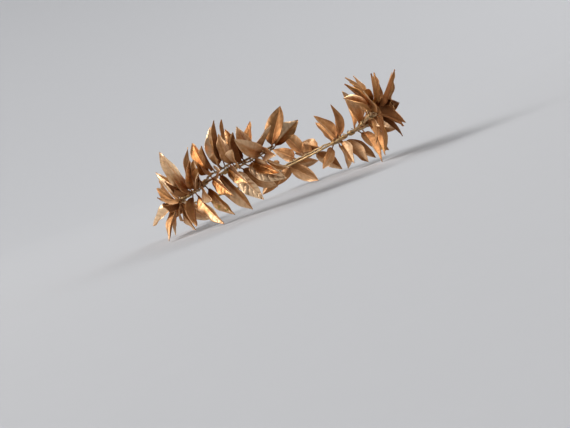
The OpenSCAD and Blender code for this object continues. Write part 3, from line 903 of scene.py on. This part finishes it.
def build_mesh(name, corners, quads, fans, uv, values):
    """A smooth mesh with a UV map and a float attribute for each named set of values."""
    loops = np.concatenate([quads.ravel(), fans.ravel()])
    starts = np.concatenate([np.arange(len(quads)) * 4, quads.size + np.arange(len(fans)) * 3])
    mesh = bpy.data.meshes.new(name)
    mesh.vertices.add(len(corners))
    mesh.vertices.foreach_set("co", corners.astype(np.float32).ravel())
    mesh.loops.add(len(loops))
    mesh.loops.foreach_set("vertex_index", loops.astype(np.int32))
    mesh.polygons.add(len(starts))
    mesh.polygons.foreach_set("loop_start", starts.astype(np.int32))
    mesh.update(calc_edges=True)
    mesh.polygons.foreach_set("use_smooth", np.ones(len(starts), bool))
    uv_map = mesh.uv_layers.new(name="Surface")
    uv_map.data.foreach_set("uv", uv[loops].astype(np.float32).ravel())
    for key, value in values.items():
        layer = mesh.attributes.new(key, "FLOAT", "POINT")
        layer.data.foreach_set("value", value.astype(np.float32))
    if mesh.validate():
        raise RuntimeError(name + " has a face that Blender can't use")
    return mesh


def make_piece(name, parts, side, band, material, node):
    """One piece of closed skins, laid down on its side of the crown. Each part is rings of
    equally many points, their paint and their UV map."""
    corners, fours, threes, maps = [], [], [], []
    values = {}
    start = 0
    for points, paint, uv in parts:
        skin, quads, fans = skin_faces(points, start, side)
        corners.append(skin)
        fours.append(quads)
        threes.extend(fans)
        maps.append(with_ends(uv))
        for key, value in paint.items():
            values.setdefault(key, []).append(with_ends(value))
        start += len(skin)
    laid = lie_down(np.concatenate(corners), band, side)
    mesh = build_mesh(name, laid, np.concatenate(fours), np.concatenate(threes),
                      np.concatenate(maps),
                      {key: np.concatenate(value) for key, value in values.items()})
    mesh.materials.append(material)
    piece = bpy.data.objects.new(name, mesh)
    bpy.context.scene.collection.objects.link(piece)
    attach(piece, BODY)
    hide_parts(node)
    return piece


# Materials

# Places of the sockets that a Mix node uses for colours: three inputs and the output
MIX_SHARE, MIX_A, MIX_B = 0, 6, 7
MIX_COLOUR = 2


class Nodes:
    """A short way to build a node tree: each call adds a node and links or sets its inputs."""

    def __init__(self, tree):
        self.tree = tree

    def add(self, kind, inputs=None, **settings):
        made = self.tree.nodes.new(kind)
        for key, value in settings.items():
            setattr(made, key, value)
        for key, value in (inputs or {}).items():
            self.put(made.inputs[key], value)
        return made

    def put(self, socket, value):
        if isinstance(value, bpy.types.NodeSocket):
            self.tree.links.new(value, socket)
        else:
            socket.default_value = value

    def math(self, operation, *values, clamp=False):
        made = self.add("ShaderNodeMath", dict(enumerate(values)), operation=operation,
                        use_clamp=clamp)
        return made.outputs[0]

    def plus(self, a, b, clamp=False):
        return self.math("ADD", a, b, clamp=clamp)

    def times(self, a, b):
        return self.math("MULTIPLY", a, b)

    def vary(self, value, noise, amount, clamp=False):
        """The value plus the noise's distance from its middle times an amount."""
        return self.plus(value, self.times(self.math("SUBTRACT", noise, 0.5), amount), clamp)

    def mix(self, share, a, b):
        """Colour a where the share is 0, b where it is 1."""
        made = self.add("ShaderNodeMix", data_type="RGBA")
        for socket, value in ((MIX_SHARE, share), (MIX_A, a), (MIX_B, b)):
            self.put(made.inputs[socket], value)
        return made.outputs[MIX_COLOUR]

    def noise(self, place, scale, detail, rough=0.55):
        return self.add("ShaderNodeTexNoise", {"Vector": place, "Scale": scale, "Detail": detail,
                                               "Roughness": rough}).outputs["Fac"]

    def value(self, attribute):
        return self.add("ShaderNodeAttribute", attribute_name=attribute).outputs["Fac"]

    def vector(self, x, y, z):
        return self.add("ShaderNodeCombineXYZ", {0: x, 1: y, 2: z}).outputs[0]

    def along_uv(self, scale):
        """The UV map with each way scaled, for a pattern that runs along a wire or twig."""
        place = self.add("ShaderNodeTexCoord").outputs["UV"]
        return self.add("ShaderNodeMapping", {"Vector": place, "Scale": scale}).outputs["Vector"]

    def ramp(self, value, low, high):
        """0 below low, 1 above high, even between."""
        return self.add("ShaderNodeMapRange", {"Value": value, "From Min": low,
                                               "From Max": high}).outputs["Result"]

    def bump(self, height, distance, strength, under=None):
        inputs = {"Height": height, "Distance": distance, "Strength": strength}
        if under is not None:
            inputs["Normal"] = under
        return self.add("ShaderNodeBump", inputs).outputs["Normal"]


class Finish(Nodes):
    """The nodes of a material, round its own shader."""

    def __init__(self, name):
        self.material = bpy.data.materials.new(name)
        self.material.use_nodes = True
        super().__init__(self.material.node_tree)
        self.shader = self.tree.nodes["Principled BSDF"]

    def done(self, **sockets):
        for key, value in sockets.items():
            self.put(self.shader.inputs[key.replace("_", " ")], value)
        return self.material


def opaque(colour, share=1.0):
    """A colour, or a share of its brightness, with alpha 1."""
    return (*(c * share for c in colour), 1.0)


# Noises of the leaf's paint. By place: cycles a metre, detail, and for flakes roughness.
# By leaf: cycles across and along it.
LEAF_BLOTCHES = (190, 4)
LEAF_FLAKES = (5200, 2, 0.7)
LEAF_GRAIN = (1500, 3)
LEAF_SPOTS = (330, 2)
LEAF_STROKES, STROKE_DETAIL = (5.0, 2.0), 3
LEAF_PUCKERS, PUCKER_DETAIL = (4.0, 8.0), 2

# How much the leaf's tone and each noise change the paint, round an even middle
MIDDLE_TONE = 0.5
TONE_CHANGE = 0.72
BLOTCH_CHANGE = 0.7
STROKE_CHANGE = 0.75
FLAKE_CHANGE = 0.30

# How much the veins darken the paint, partly painted shade in their sunk grooves and partly
# thinner paint there, and the matt paint dusts it, with the dust's colour
VEIN_SHADE_AND_PAINT = 0.85
MATT_DUSTS = 0.35
DUST = (0.40, 0.21, 0.115)

# Bare spots: how far a leaf's row brings them out, the noise between which they start and are
# whole, and the row's value from which they are all there
BARE_HELPS = 0.12
SPOT_STARTS, SPOT_WHOLE = 0.64, 0.80
BARE_ENOUGH = 0.1

# Metal and roughness of the paint, what the matt paint and the grain change of them, and the
# tint of a glancing reflection
PAINT_METAL, MATT_METAL = 0.97, 0.38
PAINT_ROUGH, MATT_ROUGH, GRAIN_ROUGH = 0.20, 0.20, 0.22
COPPER_EDGE = (1, 0.66, 0.36, 1)

# Relief of the paint: shares of grain and flakes, and depth in metres and strength of the
# relief and of the broader puckers
GRAIN_RELIEF, FLAKE_RELIEF = 0.7, 0.3
PAINT_DEPTH, PAINT_STRENGTH = 0.00012, 0.7
PUCKER_DEPTH, PUCKER_STRENGTH = 0.00034, 0.7


def painted_leaf(leaf):
    """Copper-gold paint over leaf: broad mottling, brush strokes and fine flakes vary a colour
    that goes from dark to bright with the leaf's tone, which also carries painted shade and a
    painted highlight, the veins are darkened, partly as painted shade in their grooves and
    partly as thinner paint, and where it missed the dull olive leaf shows."""
    n = Finish("painted leaf")
    place = n.add("ShaderNodeTexCoord").outputs
    blotch = n.noise(place["Object"], *LEAF_BLOTCHES)
    flake = n.noise(place["Object"], *LEAF_FLAKES)
    grain = n.noise(place["Object"], *LEAF_GRAIN)
    across, along, _ = n.add("ShaderNodeSeparateXYZ", {0: place["UV"]}).outputs
    seed = n.value("leaf_seed")

    def by_leaf(cycles, detail):
        at = n.vector(n.times(across, cycles[0]), n.times(along, cycles[1]), seed)
        return n.noise(at, 1.0, detail)

    # The leaf's tone carries painted shade at the base, on one half and on the first left
    # sprigs, and a painted highlight at the edge.
    tone = n.math("MULTIPLY_ADD", n.value("leaf_tone"), TONE_CHANGE, MIDDLE_TONE)
    tone = n.vary(tone, blotch, BLOTCH_CHANGE)
    tone = n.vary(tone, by_leaf(LEAF_STROKES, STROKE_DETAIL), STROKE_CHANGE)
    tone = n.vary(tone, flake, FLAKE_CHANGE, clamp=True)
    lower = n.mix(n.ramp(tone, 0.0, MIDDLE_TONE), opaque(leaf.dark), opaque(leaf.middle))
    colour = n.mix(n.ramp(tone, MIDDLE_TONE, 1.0), lower, opaque(leaf.bright))
    # The veins darken the paint: partly painted shade in their sunk grooves, partly thinner
    # paint.
    colour = n.mix(n.times(n.value("leaf_vein"), VEIN_SHADE_AND_PAINT), colour, opaque(leaf.dark))
    matt = n.value("leaf_matt")
    dusty = n.mix(0.5, opaque(leaf.middle), opaque(DUST))
    colour = n.mix(n.times(matt, MATT_DUSTS), colour, dusty)

    bare = n.value("leaf_bare")
    spots = n.plus(n.noise(place["Object"], *LEAF_SPOTS), n.times(bare, BARE_HELPS))
    spot = n.times(n.ramp(spots, SPOT_STARTS, SPOT_WHOLE), n.ramp(bare, 0.0, BARE_ENOUGH))
    colour = n.mix(spot, colour, opaque(leaf.bare))
    painted = n.math("SUBTRACT", PAINT_METAL, n.times(matt, MATT_METAL))
    metal = n.times(n.math("SUBTRACT", 1.0, spot), painted)
    rough = n.plus(n.times(matt, MATT_ROUGH), n.times(grain, GRAIN_ROUGH))
    rough = n.plus(rough, PAINT_ROUGH, clamp=True)

    pucker = n.bump(by_leaf(LEAF_PUCKERS, PUCKER_DETAIL), PUCKER_DEPTH, PUCKER_STRENGTH)
    relief = n.plus(n.times(grain, GRAIN_RELIEF), n.times(flake, FLAKE_RELIEF))
    normal = n.bump(relief, PAINT_DEPTH, PAINT_STRENGTH, under=pucker)
    return n.done(Base_Color=colour, Metallic=metal, Roughness=rough,
                  Specular_Tint=COPPER_EDGE, Normal=normal)


# The twig's bark: grain across and along the UV map with its detail, blotches by place, the
# noise between which they fade and their share of the paint's brightness, the grain's lighter
# colour and share, metal, roughness with what the grain adds, and the relief's depth in metres
# and strength
BARK_GRAIN, BARK_DETAIL = (5, 260, 1), 4
BARK_BLOTCHES = (420, 3)
BLOTCH_LOW, BLOTCH_HIGH = 0.35, 0.65
BLOTCH_SHADE = 0.35
BARK_LIGHT, BARK_SHARE = (0.62, 0.44, 0.22), 0.5
BARK_METAL = 0.62
BARK_ROUGH, GRAIN_ROUGHER = 0.38, 0.25
BARK_DEPTH, BARK_STRENGTH = 0.00015, 0.6


def painted_twig(twig):
    """Thin paint over bark: fine grain along the twig, with darker blotches where the paint
    is thinnest."""
    n = Finish("painted twig")
    place = n.add("ShaderNodeTexCoord").outputs["Object"]
    bark = n.noise(n.along_uv(BARK_GRAIN), 1.0, BARK_DETAIL)
    blotch = n.ramp(n.noise(place, *BARK_BLOTCHES), BLOTCH_LOW, BLOTCH_HIGH)
    paint = n.mix(blotch, opaque(twig.colour, BLOTCH_SHADE), opaque(twig.colour))
    colour = n.mix(n.times(bark, BARK_SHARE), paint, opaque(BARK_LIGHT))
    rough = n.plus(n.times(bark, GRAIN_ROUGHER), BARK_ROUGH)
    return n.done(Base_Color=colour, Metallic=BARK_METAL, Roughness=rough,
                  Normal=n.bump(bark, BARK_DEPTH, BARK_STRENGTH))


# Drawn wire: lines across and along the UV map with their detail and what they add to the
# roughness, tarnish by place, the noise between which it starts and is whole, its share of the
# brass's brightness and what it adds to the roughness, and the depth of the lines in metres
# and their strength
WIRE_LINES, LINE_DETAIL = (26, 90, 1), 2
LINES_ROUGHER = 0.16
TARNISH = (160, 4)
TARNISH_STARTS, TARNISH_WHOLE = 0.42, 0.68
TARNISH_SHADE = 0.42
TARNISH_ROUGHER = 0.14
LINE_DEPTH, LINE_STRENGTH = 0.00004, 0.5


def dulled_wire(name, colour, metal, rough):
    """Drawn brass wire: fine lines along it, and a brown tarnish in patches."""
    n = Finish(name)
    place = n.add("ShaderNodeTexCoord").outputs["Object"]
    lines = n.noise(n.along_uv(WIRE_LINES), 1.0, LINE_DETAIL)
    tarnish = n.ramp(n.noise(place, *TARNISH), TARNISH_STARTS, TARNISH_WHOLE)
    gloss = n.plus(n.times(lines, LINES_ROUGHER), rough)
    gloss = n.plus(gloss, n.times(tarnish, TARNISH_ROUGHER))
    return n.done(Base_Color=n.mix(tarnish, opaque(colour), opaque(colour, TARNISH_SHADE)),
                  Metallic=metal, Roughness=gloss,
                  Normal=n.bump(lines, LINE_DEPTH, LINE_STRENGTH))


# The backdrop's paper: noise of its fibre, its least share of the brightness, and roughness
PAPER_FIBRE = (40, 3)
FIBRE_SHADE = 0.985
PAPER_ROUGH = 0.9


def backdrop_paper(colour):
    """Plain paper with a slight unevenness in its fibre."""
    n = Finish("backdrop paper")
    place = n.add("ShaderNodeTexCoord").outputs["Object"]
    fibre = n.noise(place, *PAPER_FIBRE)
    return n.done(Base_Color=n.mix(fibre, opaque(colour, FIBRE_SHADE), opaque(colour)),
                  Roughness=PAPER_ROUGH)


# Operators

# Second number that starts a twig's and a binding's random draws. A leaf's is its row's place.
TWIG_DRAWS = 99
BINDING_DRAWS = 98

# The band wire's rings and sides, how rounded its ends are, and the two wires' finish
BAND_RINGS, BAND_SIDES, BAND_END = 360, 24, 0.3
BAND_METAL, BAND_ROUGH = 0.85, 0.30
BINDING_METAL, BINDING_ROUGH = 0.95, 0.24


def sprigs(scene):
    """Each sprig with its name and its place in the table, which starts its random draws."""
    for order, name in enumerate(SPRIGS):
        yield order, name, Sprig(name, scene)


class CROWN_OT_leaves(bpy.types.Operator):
    """Make the painted leaves of every sprig"""
    bl_idname = "crown.leaves"
    bl_label = "Leaves"

    def execute(self, context):
        leaf = context.scene.crown_leaf
        paint = painted_leaf(leaf)
        for order, name, sprig in sprigs(context.scene):
            parts = [leaf_surface(sprig, row, leaf, np.random.default_rng([order, k]))
                     for k, row in enumerate(sprig.rows)]
            make_piece(name + "_leaves", parts, sprig.side, sprig.band, paint,
                       name)
        return {"FINISHED"}


class CROWN_OT_twigs(bpy.types.Operator):
    """Make the twig of every sprig, with its cut side shoots"""
    bl_idname = "crown.twigs"
    bl_label = "Twigs"

    def execute(self, context):
        bark = painted_twig(context.scene.crown_twig)
        for order, name, sprig in sprigs(context.scene):
            parts = twig_surfaces(sprig, np.random.default_rng([order, TWIG_DRAWS]))
            make_piece(name + "_twig", parts, sprig.side, sprig.band, bark,
                       name)
        return {"FINISHED"}


class CROWN_OT_band(bpy.types.Operator):
    """Make the band wire, one even round wire along the oval"""
    bl_idname = "crown.band"
    bl_label = "Band"

    def execute(self, context):
        band = context.scene.crown_band
        angle = np.linspace(-band.end_angle, band.end_angle, BAND_RINGS)
        path, _, out = oval(angle, band)
        wire = tube(path, band.wire / 2, BAND_SIDES, out, BAND_END)
        brass = dulled_wire("band wire", band.colour, BAND_METAL, BAND_ROUGH)
        make_piece("band", [wire], 1, band, brass, "band_wire")
        return {"FINISHED"}


class CROWN_OT_bindings(bpy.types.Operator):
    """Wind the fine wire that ties each twig to the band"""
    bl_idname = "crown.bindings"
    bl_label = "Bindings"

    def execute(self, context):
        colour = context.scene.crown_binding.colour
        brass = dulled_wire("binding wire", colour, BINDING_METAL, BINDING_ROUGH)
        for order, name, sprig in sprigs(context.scene):
            node = name.replace("sprig", "binding")
            wound = binding_surface(sprig, np.random.default_rng([order, BINDING_DRAWS]))
            make_piece(node + "_wire", [wound], sprig.side, sprig.band, brass,
                       node)
        return {"FINISHED"}


# Profile of the floor and backdrop: the small round in the middle that one face closes, the
# flat floor, the bend's radius, and the slope after it, with the rings and sides of the mesh
FLOOR_HOLE = 0.02
FLOOR_RADIUS = 1.6
BEND_RADIUS = 3.0
SLOPE = math.radians(26)
SLOPE_LENGTH = 4.5
ARC_RINGS, SLOPE_RINGS, BACKDROP_SIDES = 24, 12, 96

# Columns of a lamp row: name, azimuth and elevation from the crown in degrees, distance and
# width in metres, power in watts, colour
LAMPS = (
    ("key window", -98, 42, 4.0, 2.6, 84, (1.0, 0.97, 0.93)),
    ("fill window", 100, 32, 4.0, 1.8, 40, (1.0, 0.99, 0.97)),
    ("backdrop light", 188, 45, 4.5, 1.5, 26, (1.0, 0.99, 0.98)),
)

# Columns of a glow row: azimuth and elevation that a part of the studio's light comes from,
# how narrow it is (a power of the cosine), strength
GLOWS = (
    (-98, 36, 12, 4.3),
    (104, 30, 14, 1.0),
    (-28, 88, 2, 0.15),
)

# Colour of the studio's light, and its even strength besides the glows
STUDIO_COLOUR = (0.95, 0.955, 0.98, 1)
STUDIO_STRENGTH = 0.08

# The picture's width in pixels, how far right of its middle and above it the middle of the
# band stands, also in pixels, the sensor's width in millimetres, and the nearest and farthest
# that the camera sees, in metres
PICTURE_WIDTH = 570
BAND_RIGHT, BAND_UP = -12.7, 51.7
SENSOR_WIDTH = 36.0
NEAREST_SEEN, FARTHEST_SEEN = 0.02, 30


def backdrop_mesh():
    """Floor and backdrop in one: a profile turned round the middle, flat to a radius, then an
    arc of a wide circle, and then a straight slope, so that it rises gently all round."""
    flat = np.linspace(FLOOR_HOLE, FLOOR_RADIUS, ARC_RINGS)
    floor = np.stack([flat, np.zeros(ARC_RINGS)], -1)
    arc = np.linspace(0, SLOPE, ARC_RINGS)[1:]
    bend = np.stack([FLOOR_RADIUS + BEND_RADIUS * np.sin(arc),
                     BEND_RADIUS * (1 - np.cos(arc))], -1)
    run = np.linspace(0, SLOPE_LENGTH, SLOPE_RINGS)[1:, None]
    climb = bend[-1] + run * np.array([math.cos(SLOPE), math.sin(SLOPE)])
    profile = np.concatenate([floor, bend, climb])
    turn = np.linspace(0, 2 * math.pi, BACKDROP_SIDES, endpoint=False)[None]
    out, up = profile[:, :1], profile[:, 1:]
    co = np.stack(np.broadcast_arrays(out * np.cos(turn), out * np.sin(turn), up), -1)
    index = np.arange(len(profile) * BACKDROP_SIDES).reshape(-1, BACKDROP_SIDES)
    a, b = index[:-1], index[1:]
    faces = np.stack([a, b, np.roll(b, -1, 1), np.roll(a, -1, 1)], -1).reshape(-1, 4)
    mesh = bpy.data.meshes.new("backdrop")
    mesh.from_pydata(co.reshape(-1, 3).tolist(), [], faces.tolist() + [index[0].tolist()])
    mesh.polygons.foreach_set("use_smooth", np.ones(len(mesh.polygons), bool))
    mesh.update()
    return mesh


def toward(azimuth, elevation):
    """Way from the crown at an angle round it from straight in front and an angle up."""
    return Vector((math.sin(azimuth) * math.cos(elevation),
                   -math.cos(azimuth) * math.cos(elevation), math.sin(elevation)))


def studio_world():
    """An even studio with a broad glow for each row: its strength times a power of the cosine
    of the angle from its middle."""
    world = bpy.data.worlds.new("studio")
    world.use_nodes = True
    background = world.node_tree.nodes["Background"]
    n = Nodes(world.node_tree)
    look = n.add("ShaderNodeTexCoord").outputs["Generated"]
    light = STUDIO_STRENGTH
    for azimuth, elevation, power, strength in GLOWS:
        middle = toward(math.radians(azimuth), math.radians(elevation))
        near = n.add("ShaderNodeVectorMath", {0: look, 1: middle},
                     operation="DOT_PRODUCT").outputs["Value"]
        near = n.math("POWER", n.math("MAXIMUM", near, 0.0), power)
        light = n.plus(n.times(near, strength), light)
    n.put(background.inputs["Color"], STUDIO_COLOUR)
    n.put(background.inputs["Strength"], light)
    return world


def add_lamp(target, name, azimuth, elevation, distance, width, power, colour):
    """A square lamp that faces the target."""
    back = toward(math.radians(azimuth), math.radians(elevation))
    lamp = bpy.data.lights.new(name, "AREA")
    lamp.shape = "SQUARE"
    lamp.size = width
    lamp.energy = power
    lamp.color = colour
    holder = bpy.data.objects.new(name, lamp)
    holder.location = target + back * distance
    holder.rotation_euler = back.to_track_quat("Z", "Y").to_euler()
    holder.visible_camera = False
    bpy.context.scene.collection.objects.link(holder)


def add_camera(target, stage):
    """The photo's camera: it looks past the target, so that the crown stands where it does in
    the picture, and is turned about its line of sight."""
    back = toward(stage.azimuth, stage.elevation)
    level = Vector((math.cos(stage.azimuth), math.sin(stage.azimuth), 0))
    above = back.cross(level)
    right = math.cos(stage.roll) * level + math.sin(stage.roll) * above
    up = math.cos(stage.roll) * above - math.sin(stage.roll) * level
    focus = stage.scale * stage.distance
    ahead = (-back - right * BAND_RIGHT / focus - up * BAND_UP / focus).normalized()
    right = (right - ahead * right.dot(ahead)).normalized()
    up = right.cross(ahead)
    camera = bpy.data.cameras.new("camera")
    camera.sensor_width = SENSOR_WIDTH
    camera.lens = focus * SENSOR_WIDTH / PICTURE_WIDTH
    camera.clip_start = NEAREST_SEEN
    camera.clip_end = FARTHEST_SEEN
    eye = bpy.data.objects.new("camera", camera)
    turn = Matrix((right, up, -ahead)).transposed().to_4x4()
    eye.matrix_world = Matrix.Translation(target + back * stage.distance) @ turn
    bpy.context.scene.collection.objects.link(eye)
    return eye


class CROWN_OT_stage(bpy.types.Operator):
    """Make the floor and backdrop, the lights and the camera"""
    bl_idname = "crown.stage"
    bl_label = "Stage"

    def execute(self, context):
        scene, stage = context.scene, context.scene.crown_stage
        mesh = backdrop_mesh()
        mesh.materials.append(backdrop_paper(stage.backdrop))
        backdrop = bpy.data.objects.new("backdrop", mesh)
        scene.collection.objects.link(backdrop)

        scene.world = studio_world()
        scene.view_settings.view_transform = "Standard"
        target = Vector(lie_down(np.zeros(3), scene.crown_band))
        for row in LAMPS:
            add_lamp(target, *row)
        scene.camera = add_camera(target, stage)
        return {"FINISHED"}


class CROWN_PT_panel(bpy.types.Panel):
    """The crown's pieces and sizes"""
    bl_label = "Laurel Crown"
    bl_idname = "CROWN_PT_panel"
    bl_space_type = "VIEW_3D"
    bl_region_type = "UI"
    bl_category = "Laurel Crown"

    def draw(self, context):
        for operator in OPERATORS:
            self.layout.operator(operator.bl_idname)
        for name, group in GROUPS.items():
            box = self.layout.box()
            box.label(text=group.__doc__)
            for prop in group.__annotations__:
                box.prop(getattr(context.scene, name), prop)


GROUPS = {
    "crown_band": CrownBand,
    "crown_twig": CrownTwig,
    "crown_leaf": CrownLeaf,
    "crown_binding": CrownBinding,
    "crown_stage": CrownStage,
}
OPERATORS = (CROWN_OT_band, CROWN_OT_twigs, CROWN_OT_leaves, CROWN_OT_bindings,
             CROWN_OT_stage)


def register():
    for made in (*GROUPS.values(), *OPERATORS, CROWN_PT_panel):
        bpy.utils.register_class(made)
    for name, group in GROUPS.items():
        setattr(bpy.types.Scene, name, PointerProperty(type=group))


def unregister():
    for name in GROUPS:
        delattr(bpy.types.Scene, name)
    for made in reversed((*GROUPS.values(), *OPERATORS, CROWN_PT_panel)):
        bpy.utils.unregister_class(made)


def main():
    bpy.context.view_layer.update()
    register()
    for make in (bpy.ops.crown.band, bpy.ops.crown.twigs, bpy.ops.crown.leaves,
                 bpy.ops.crown.bindings, bpy.ops.crown.stage):
        make()


if __name__ == "__main__":
    main()
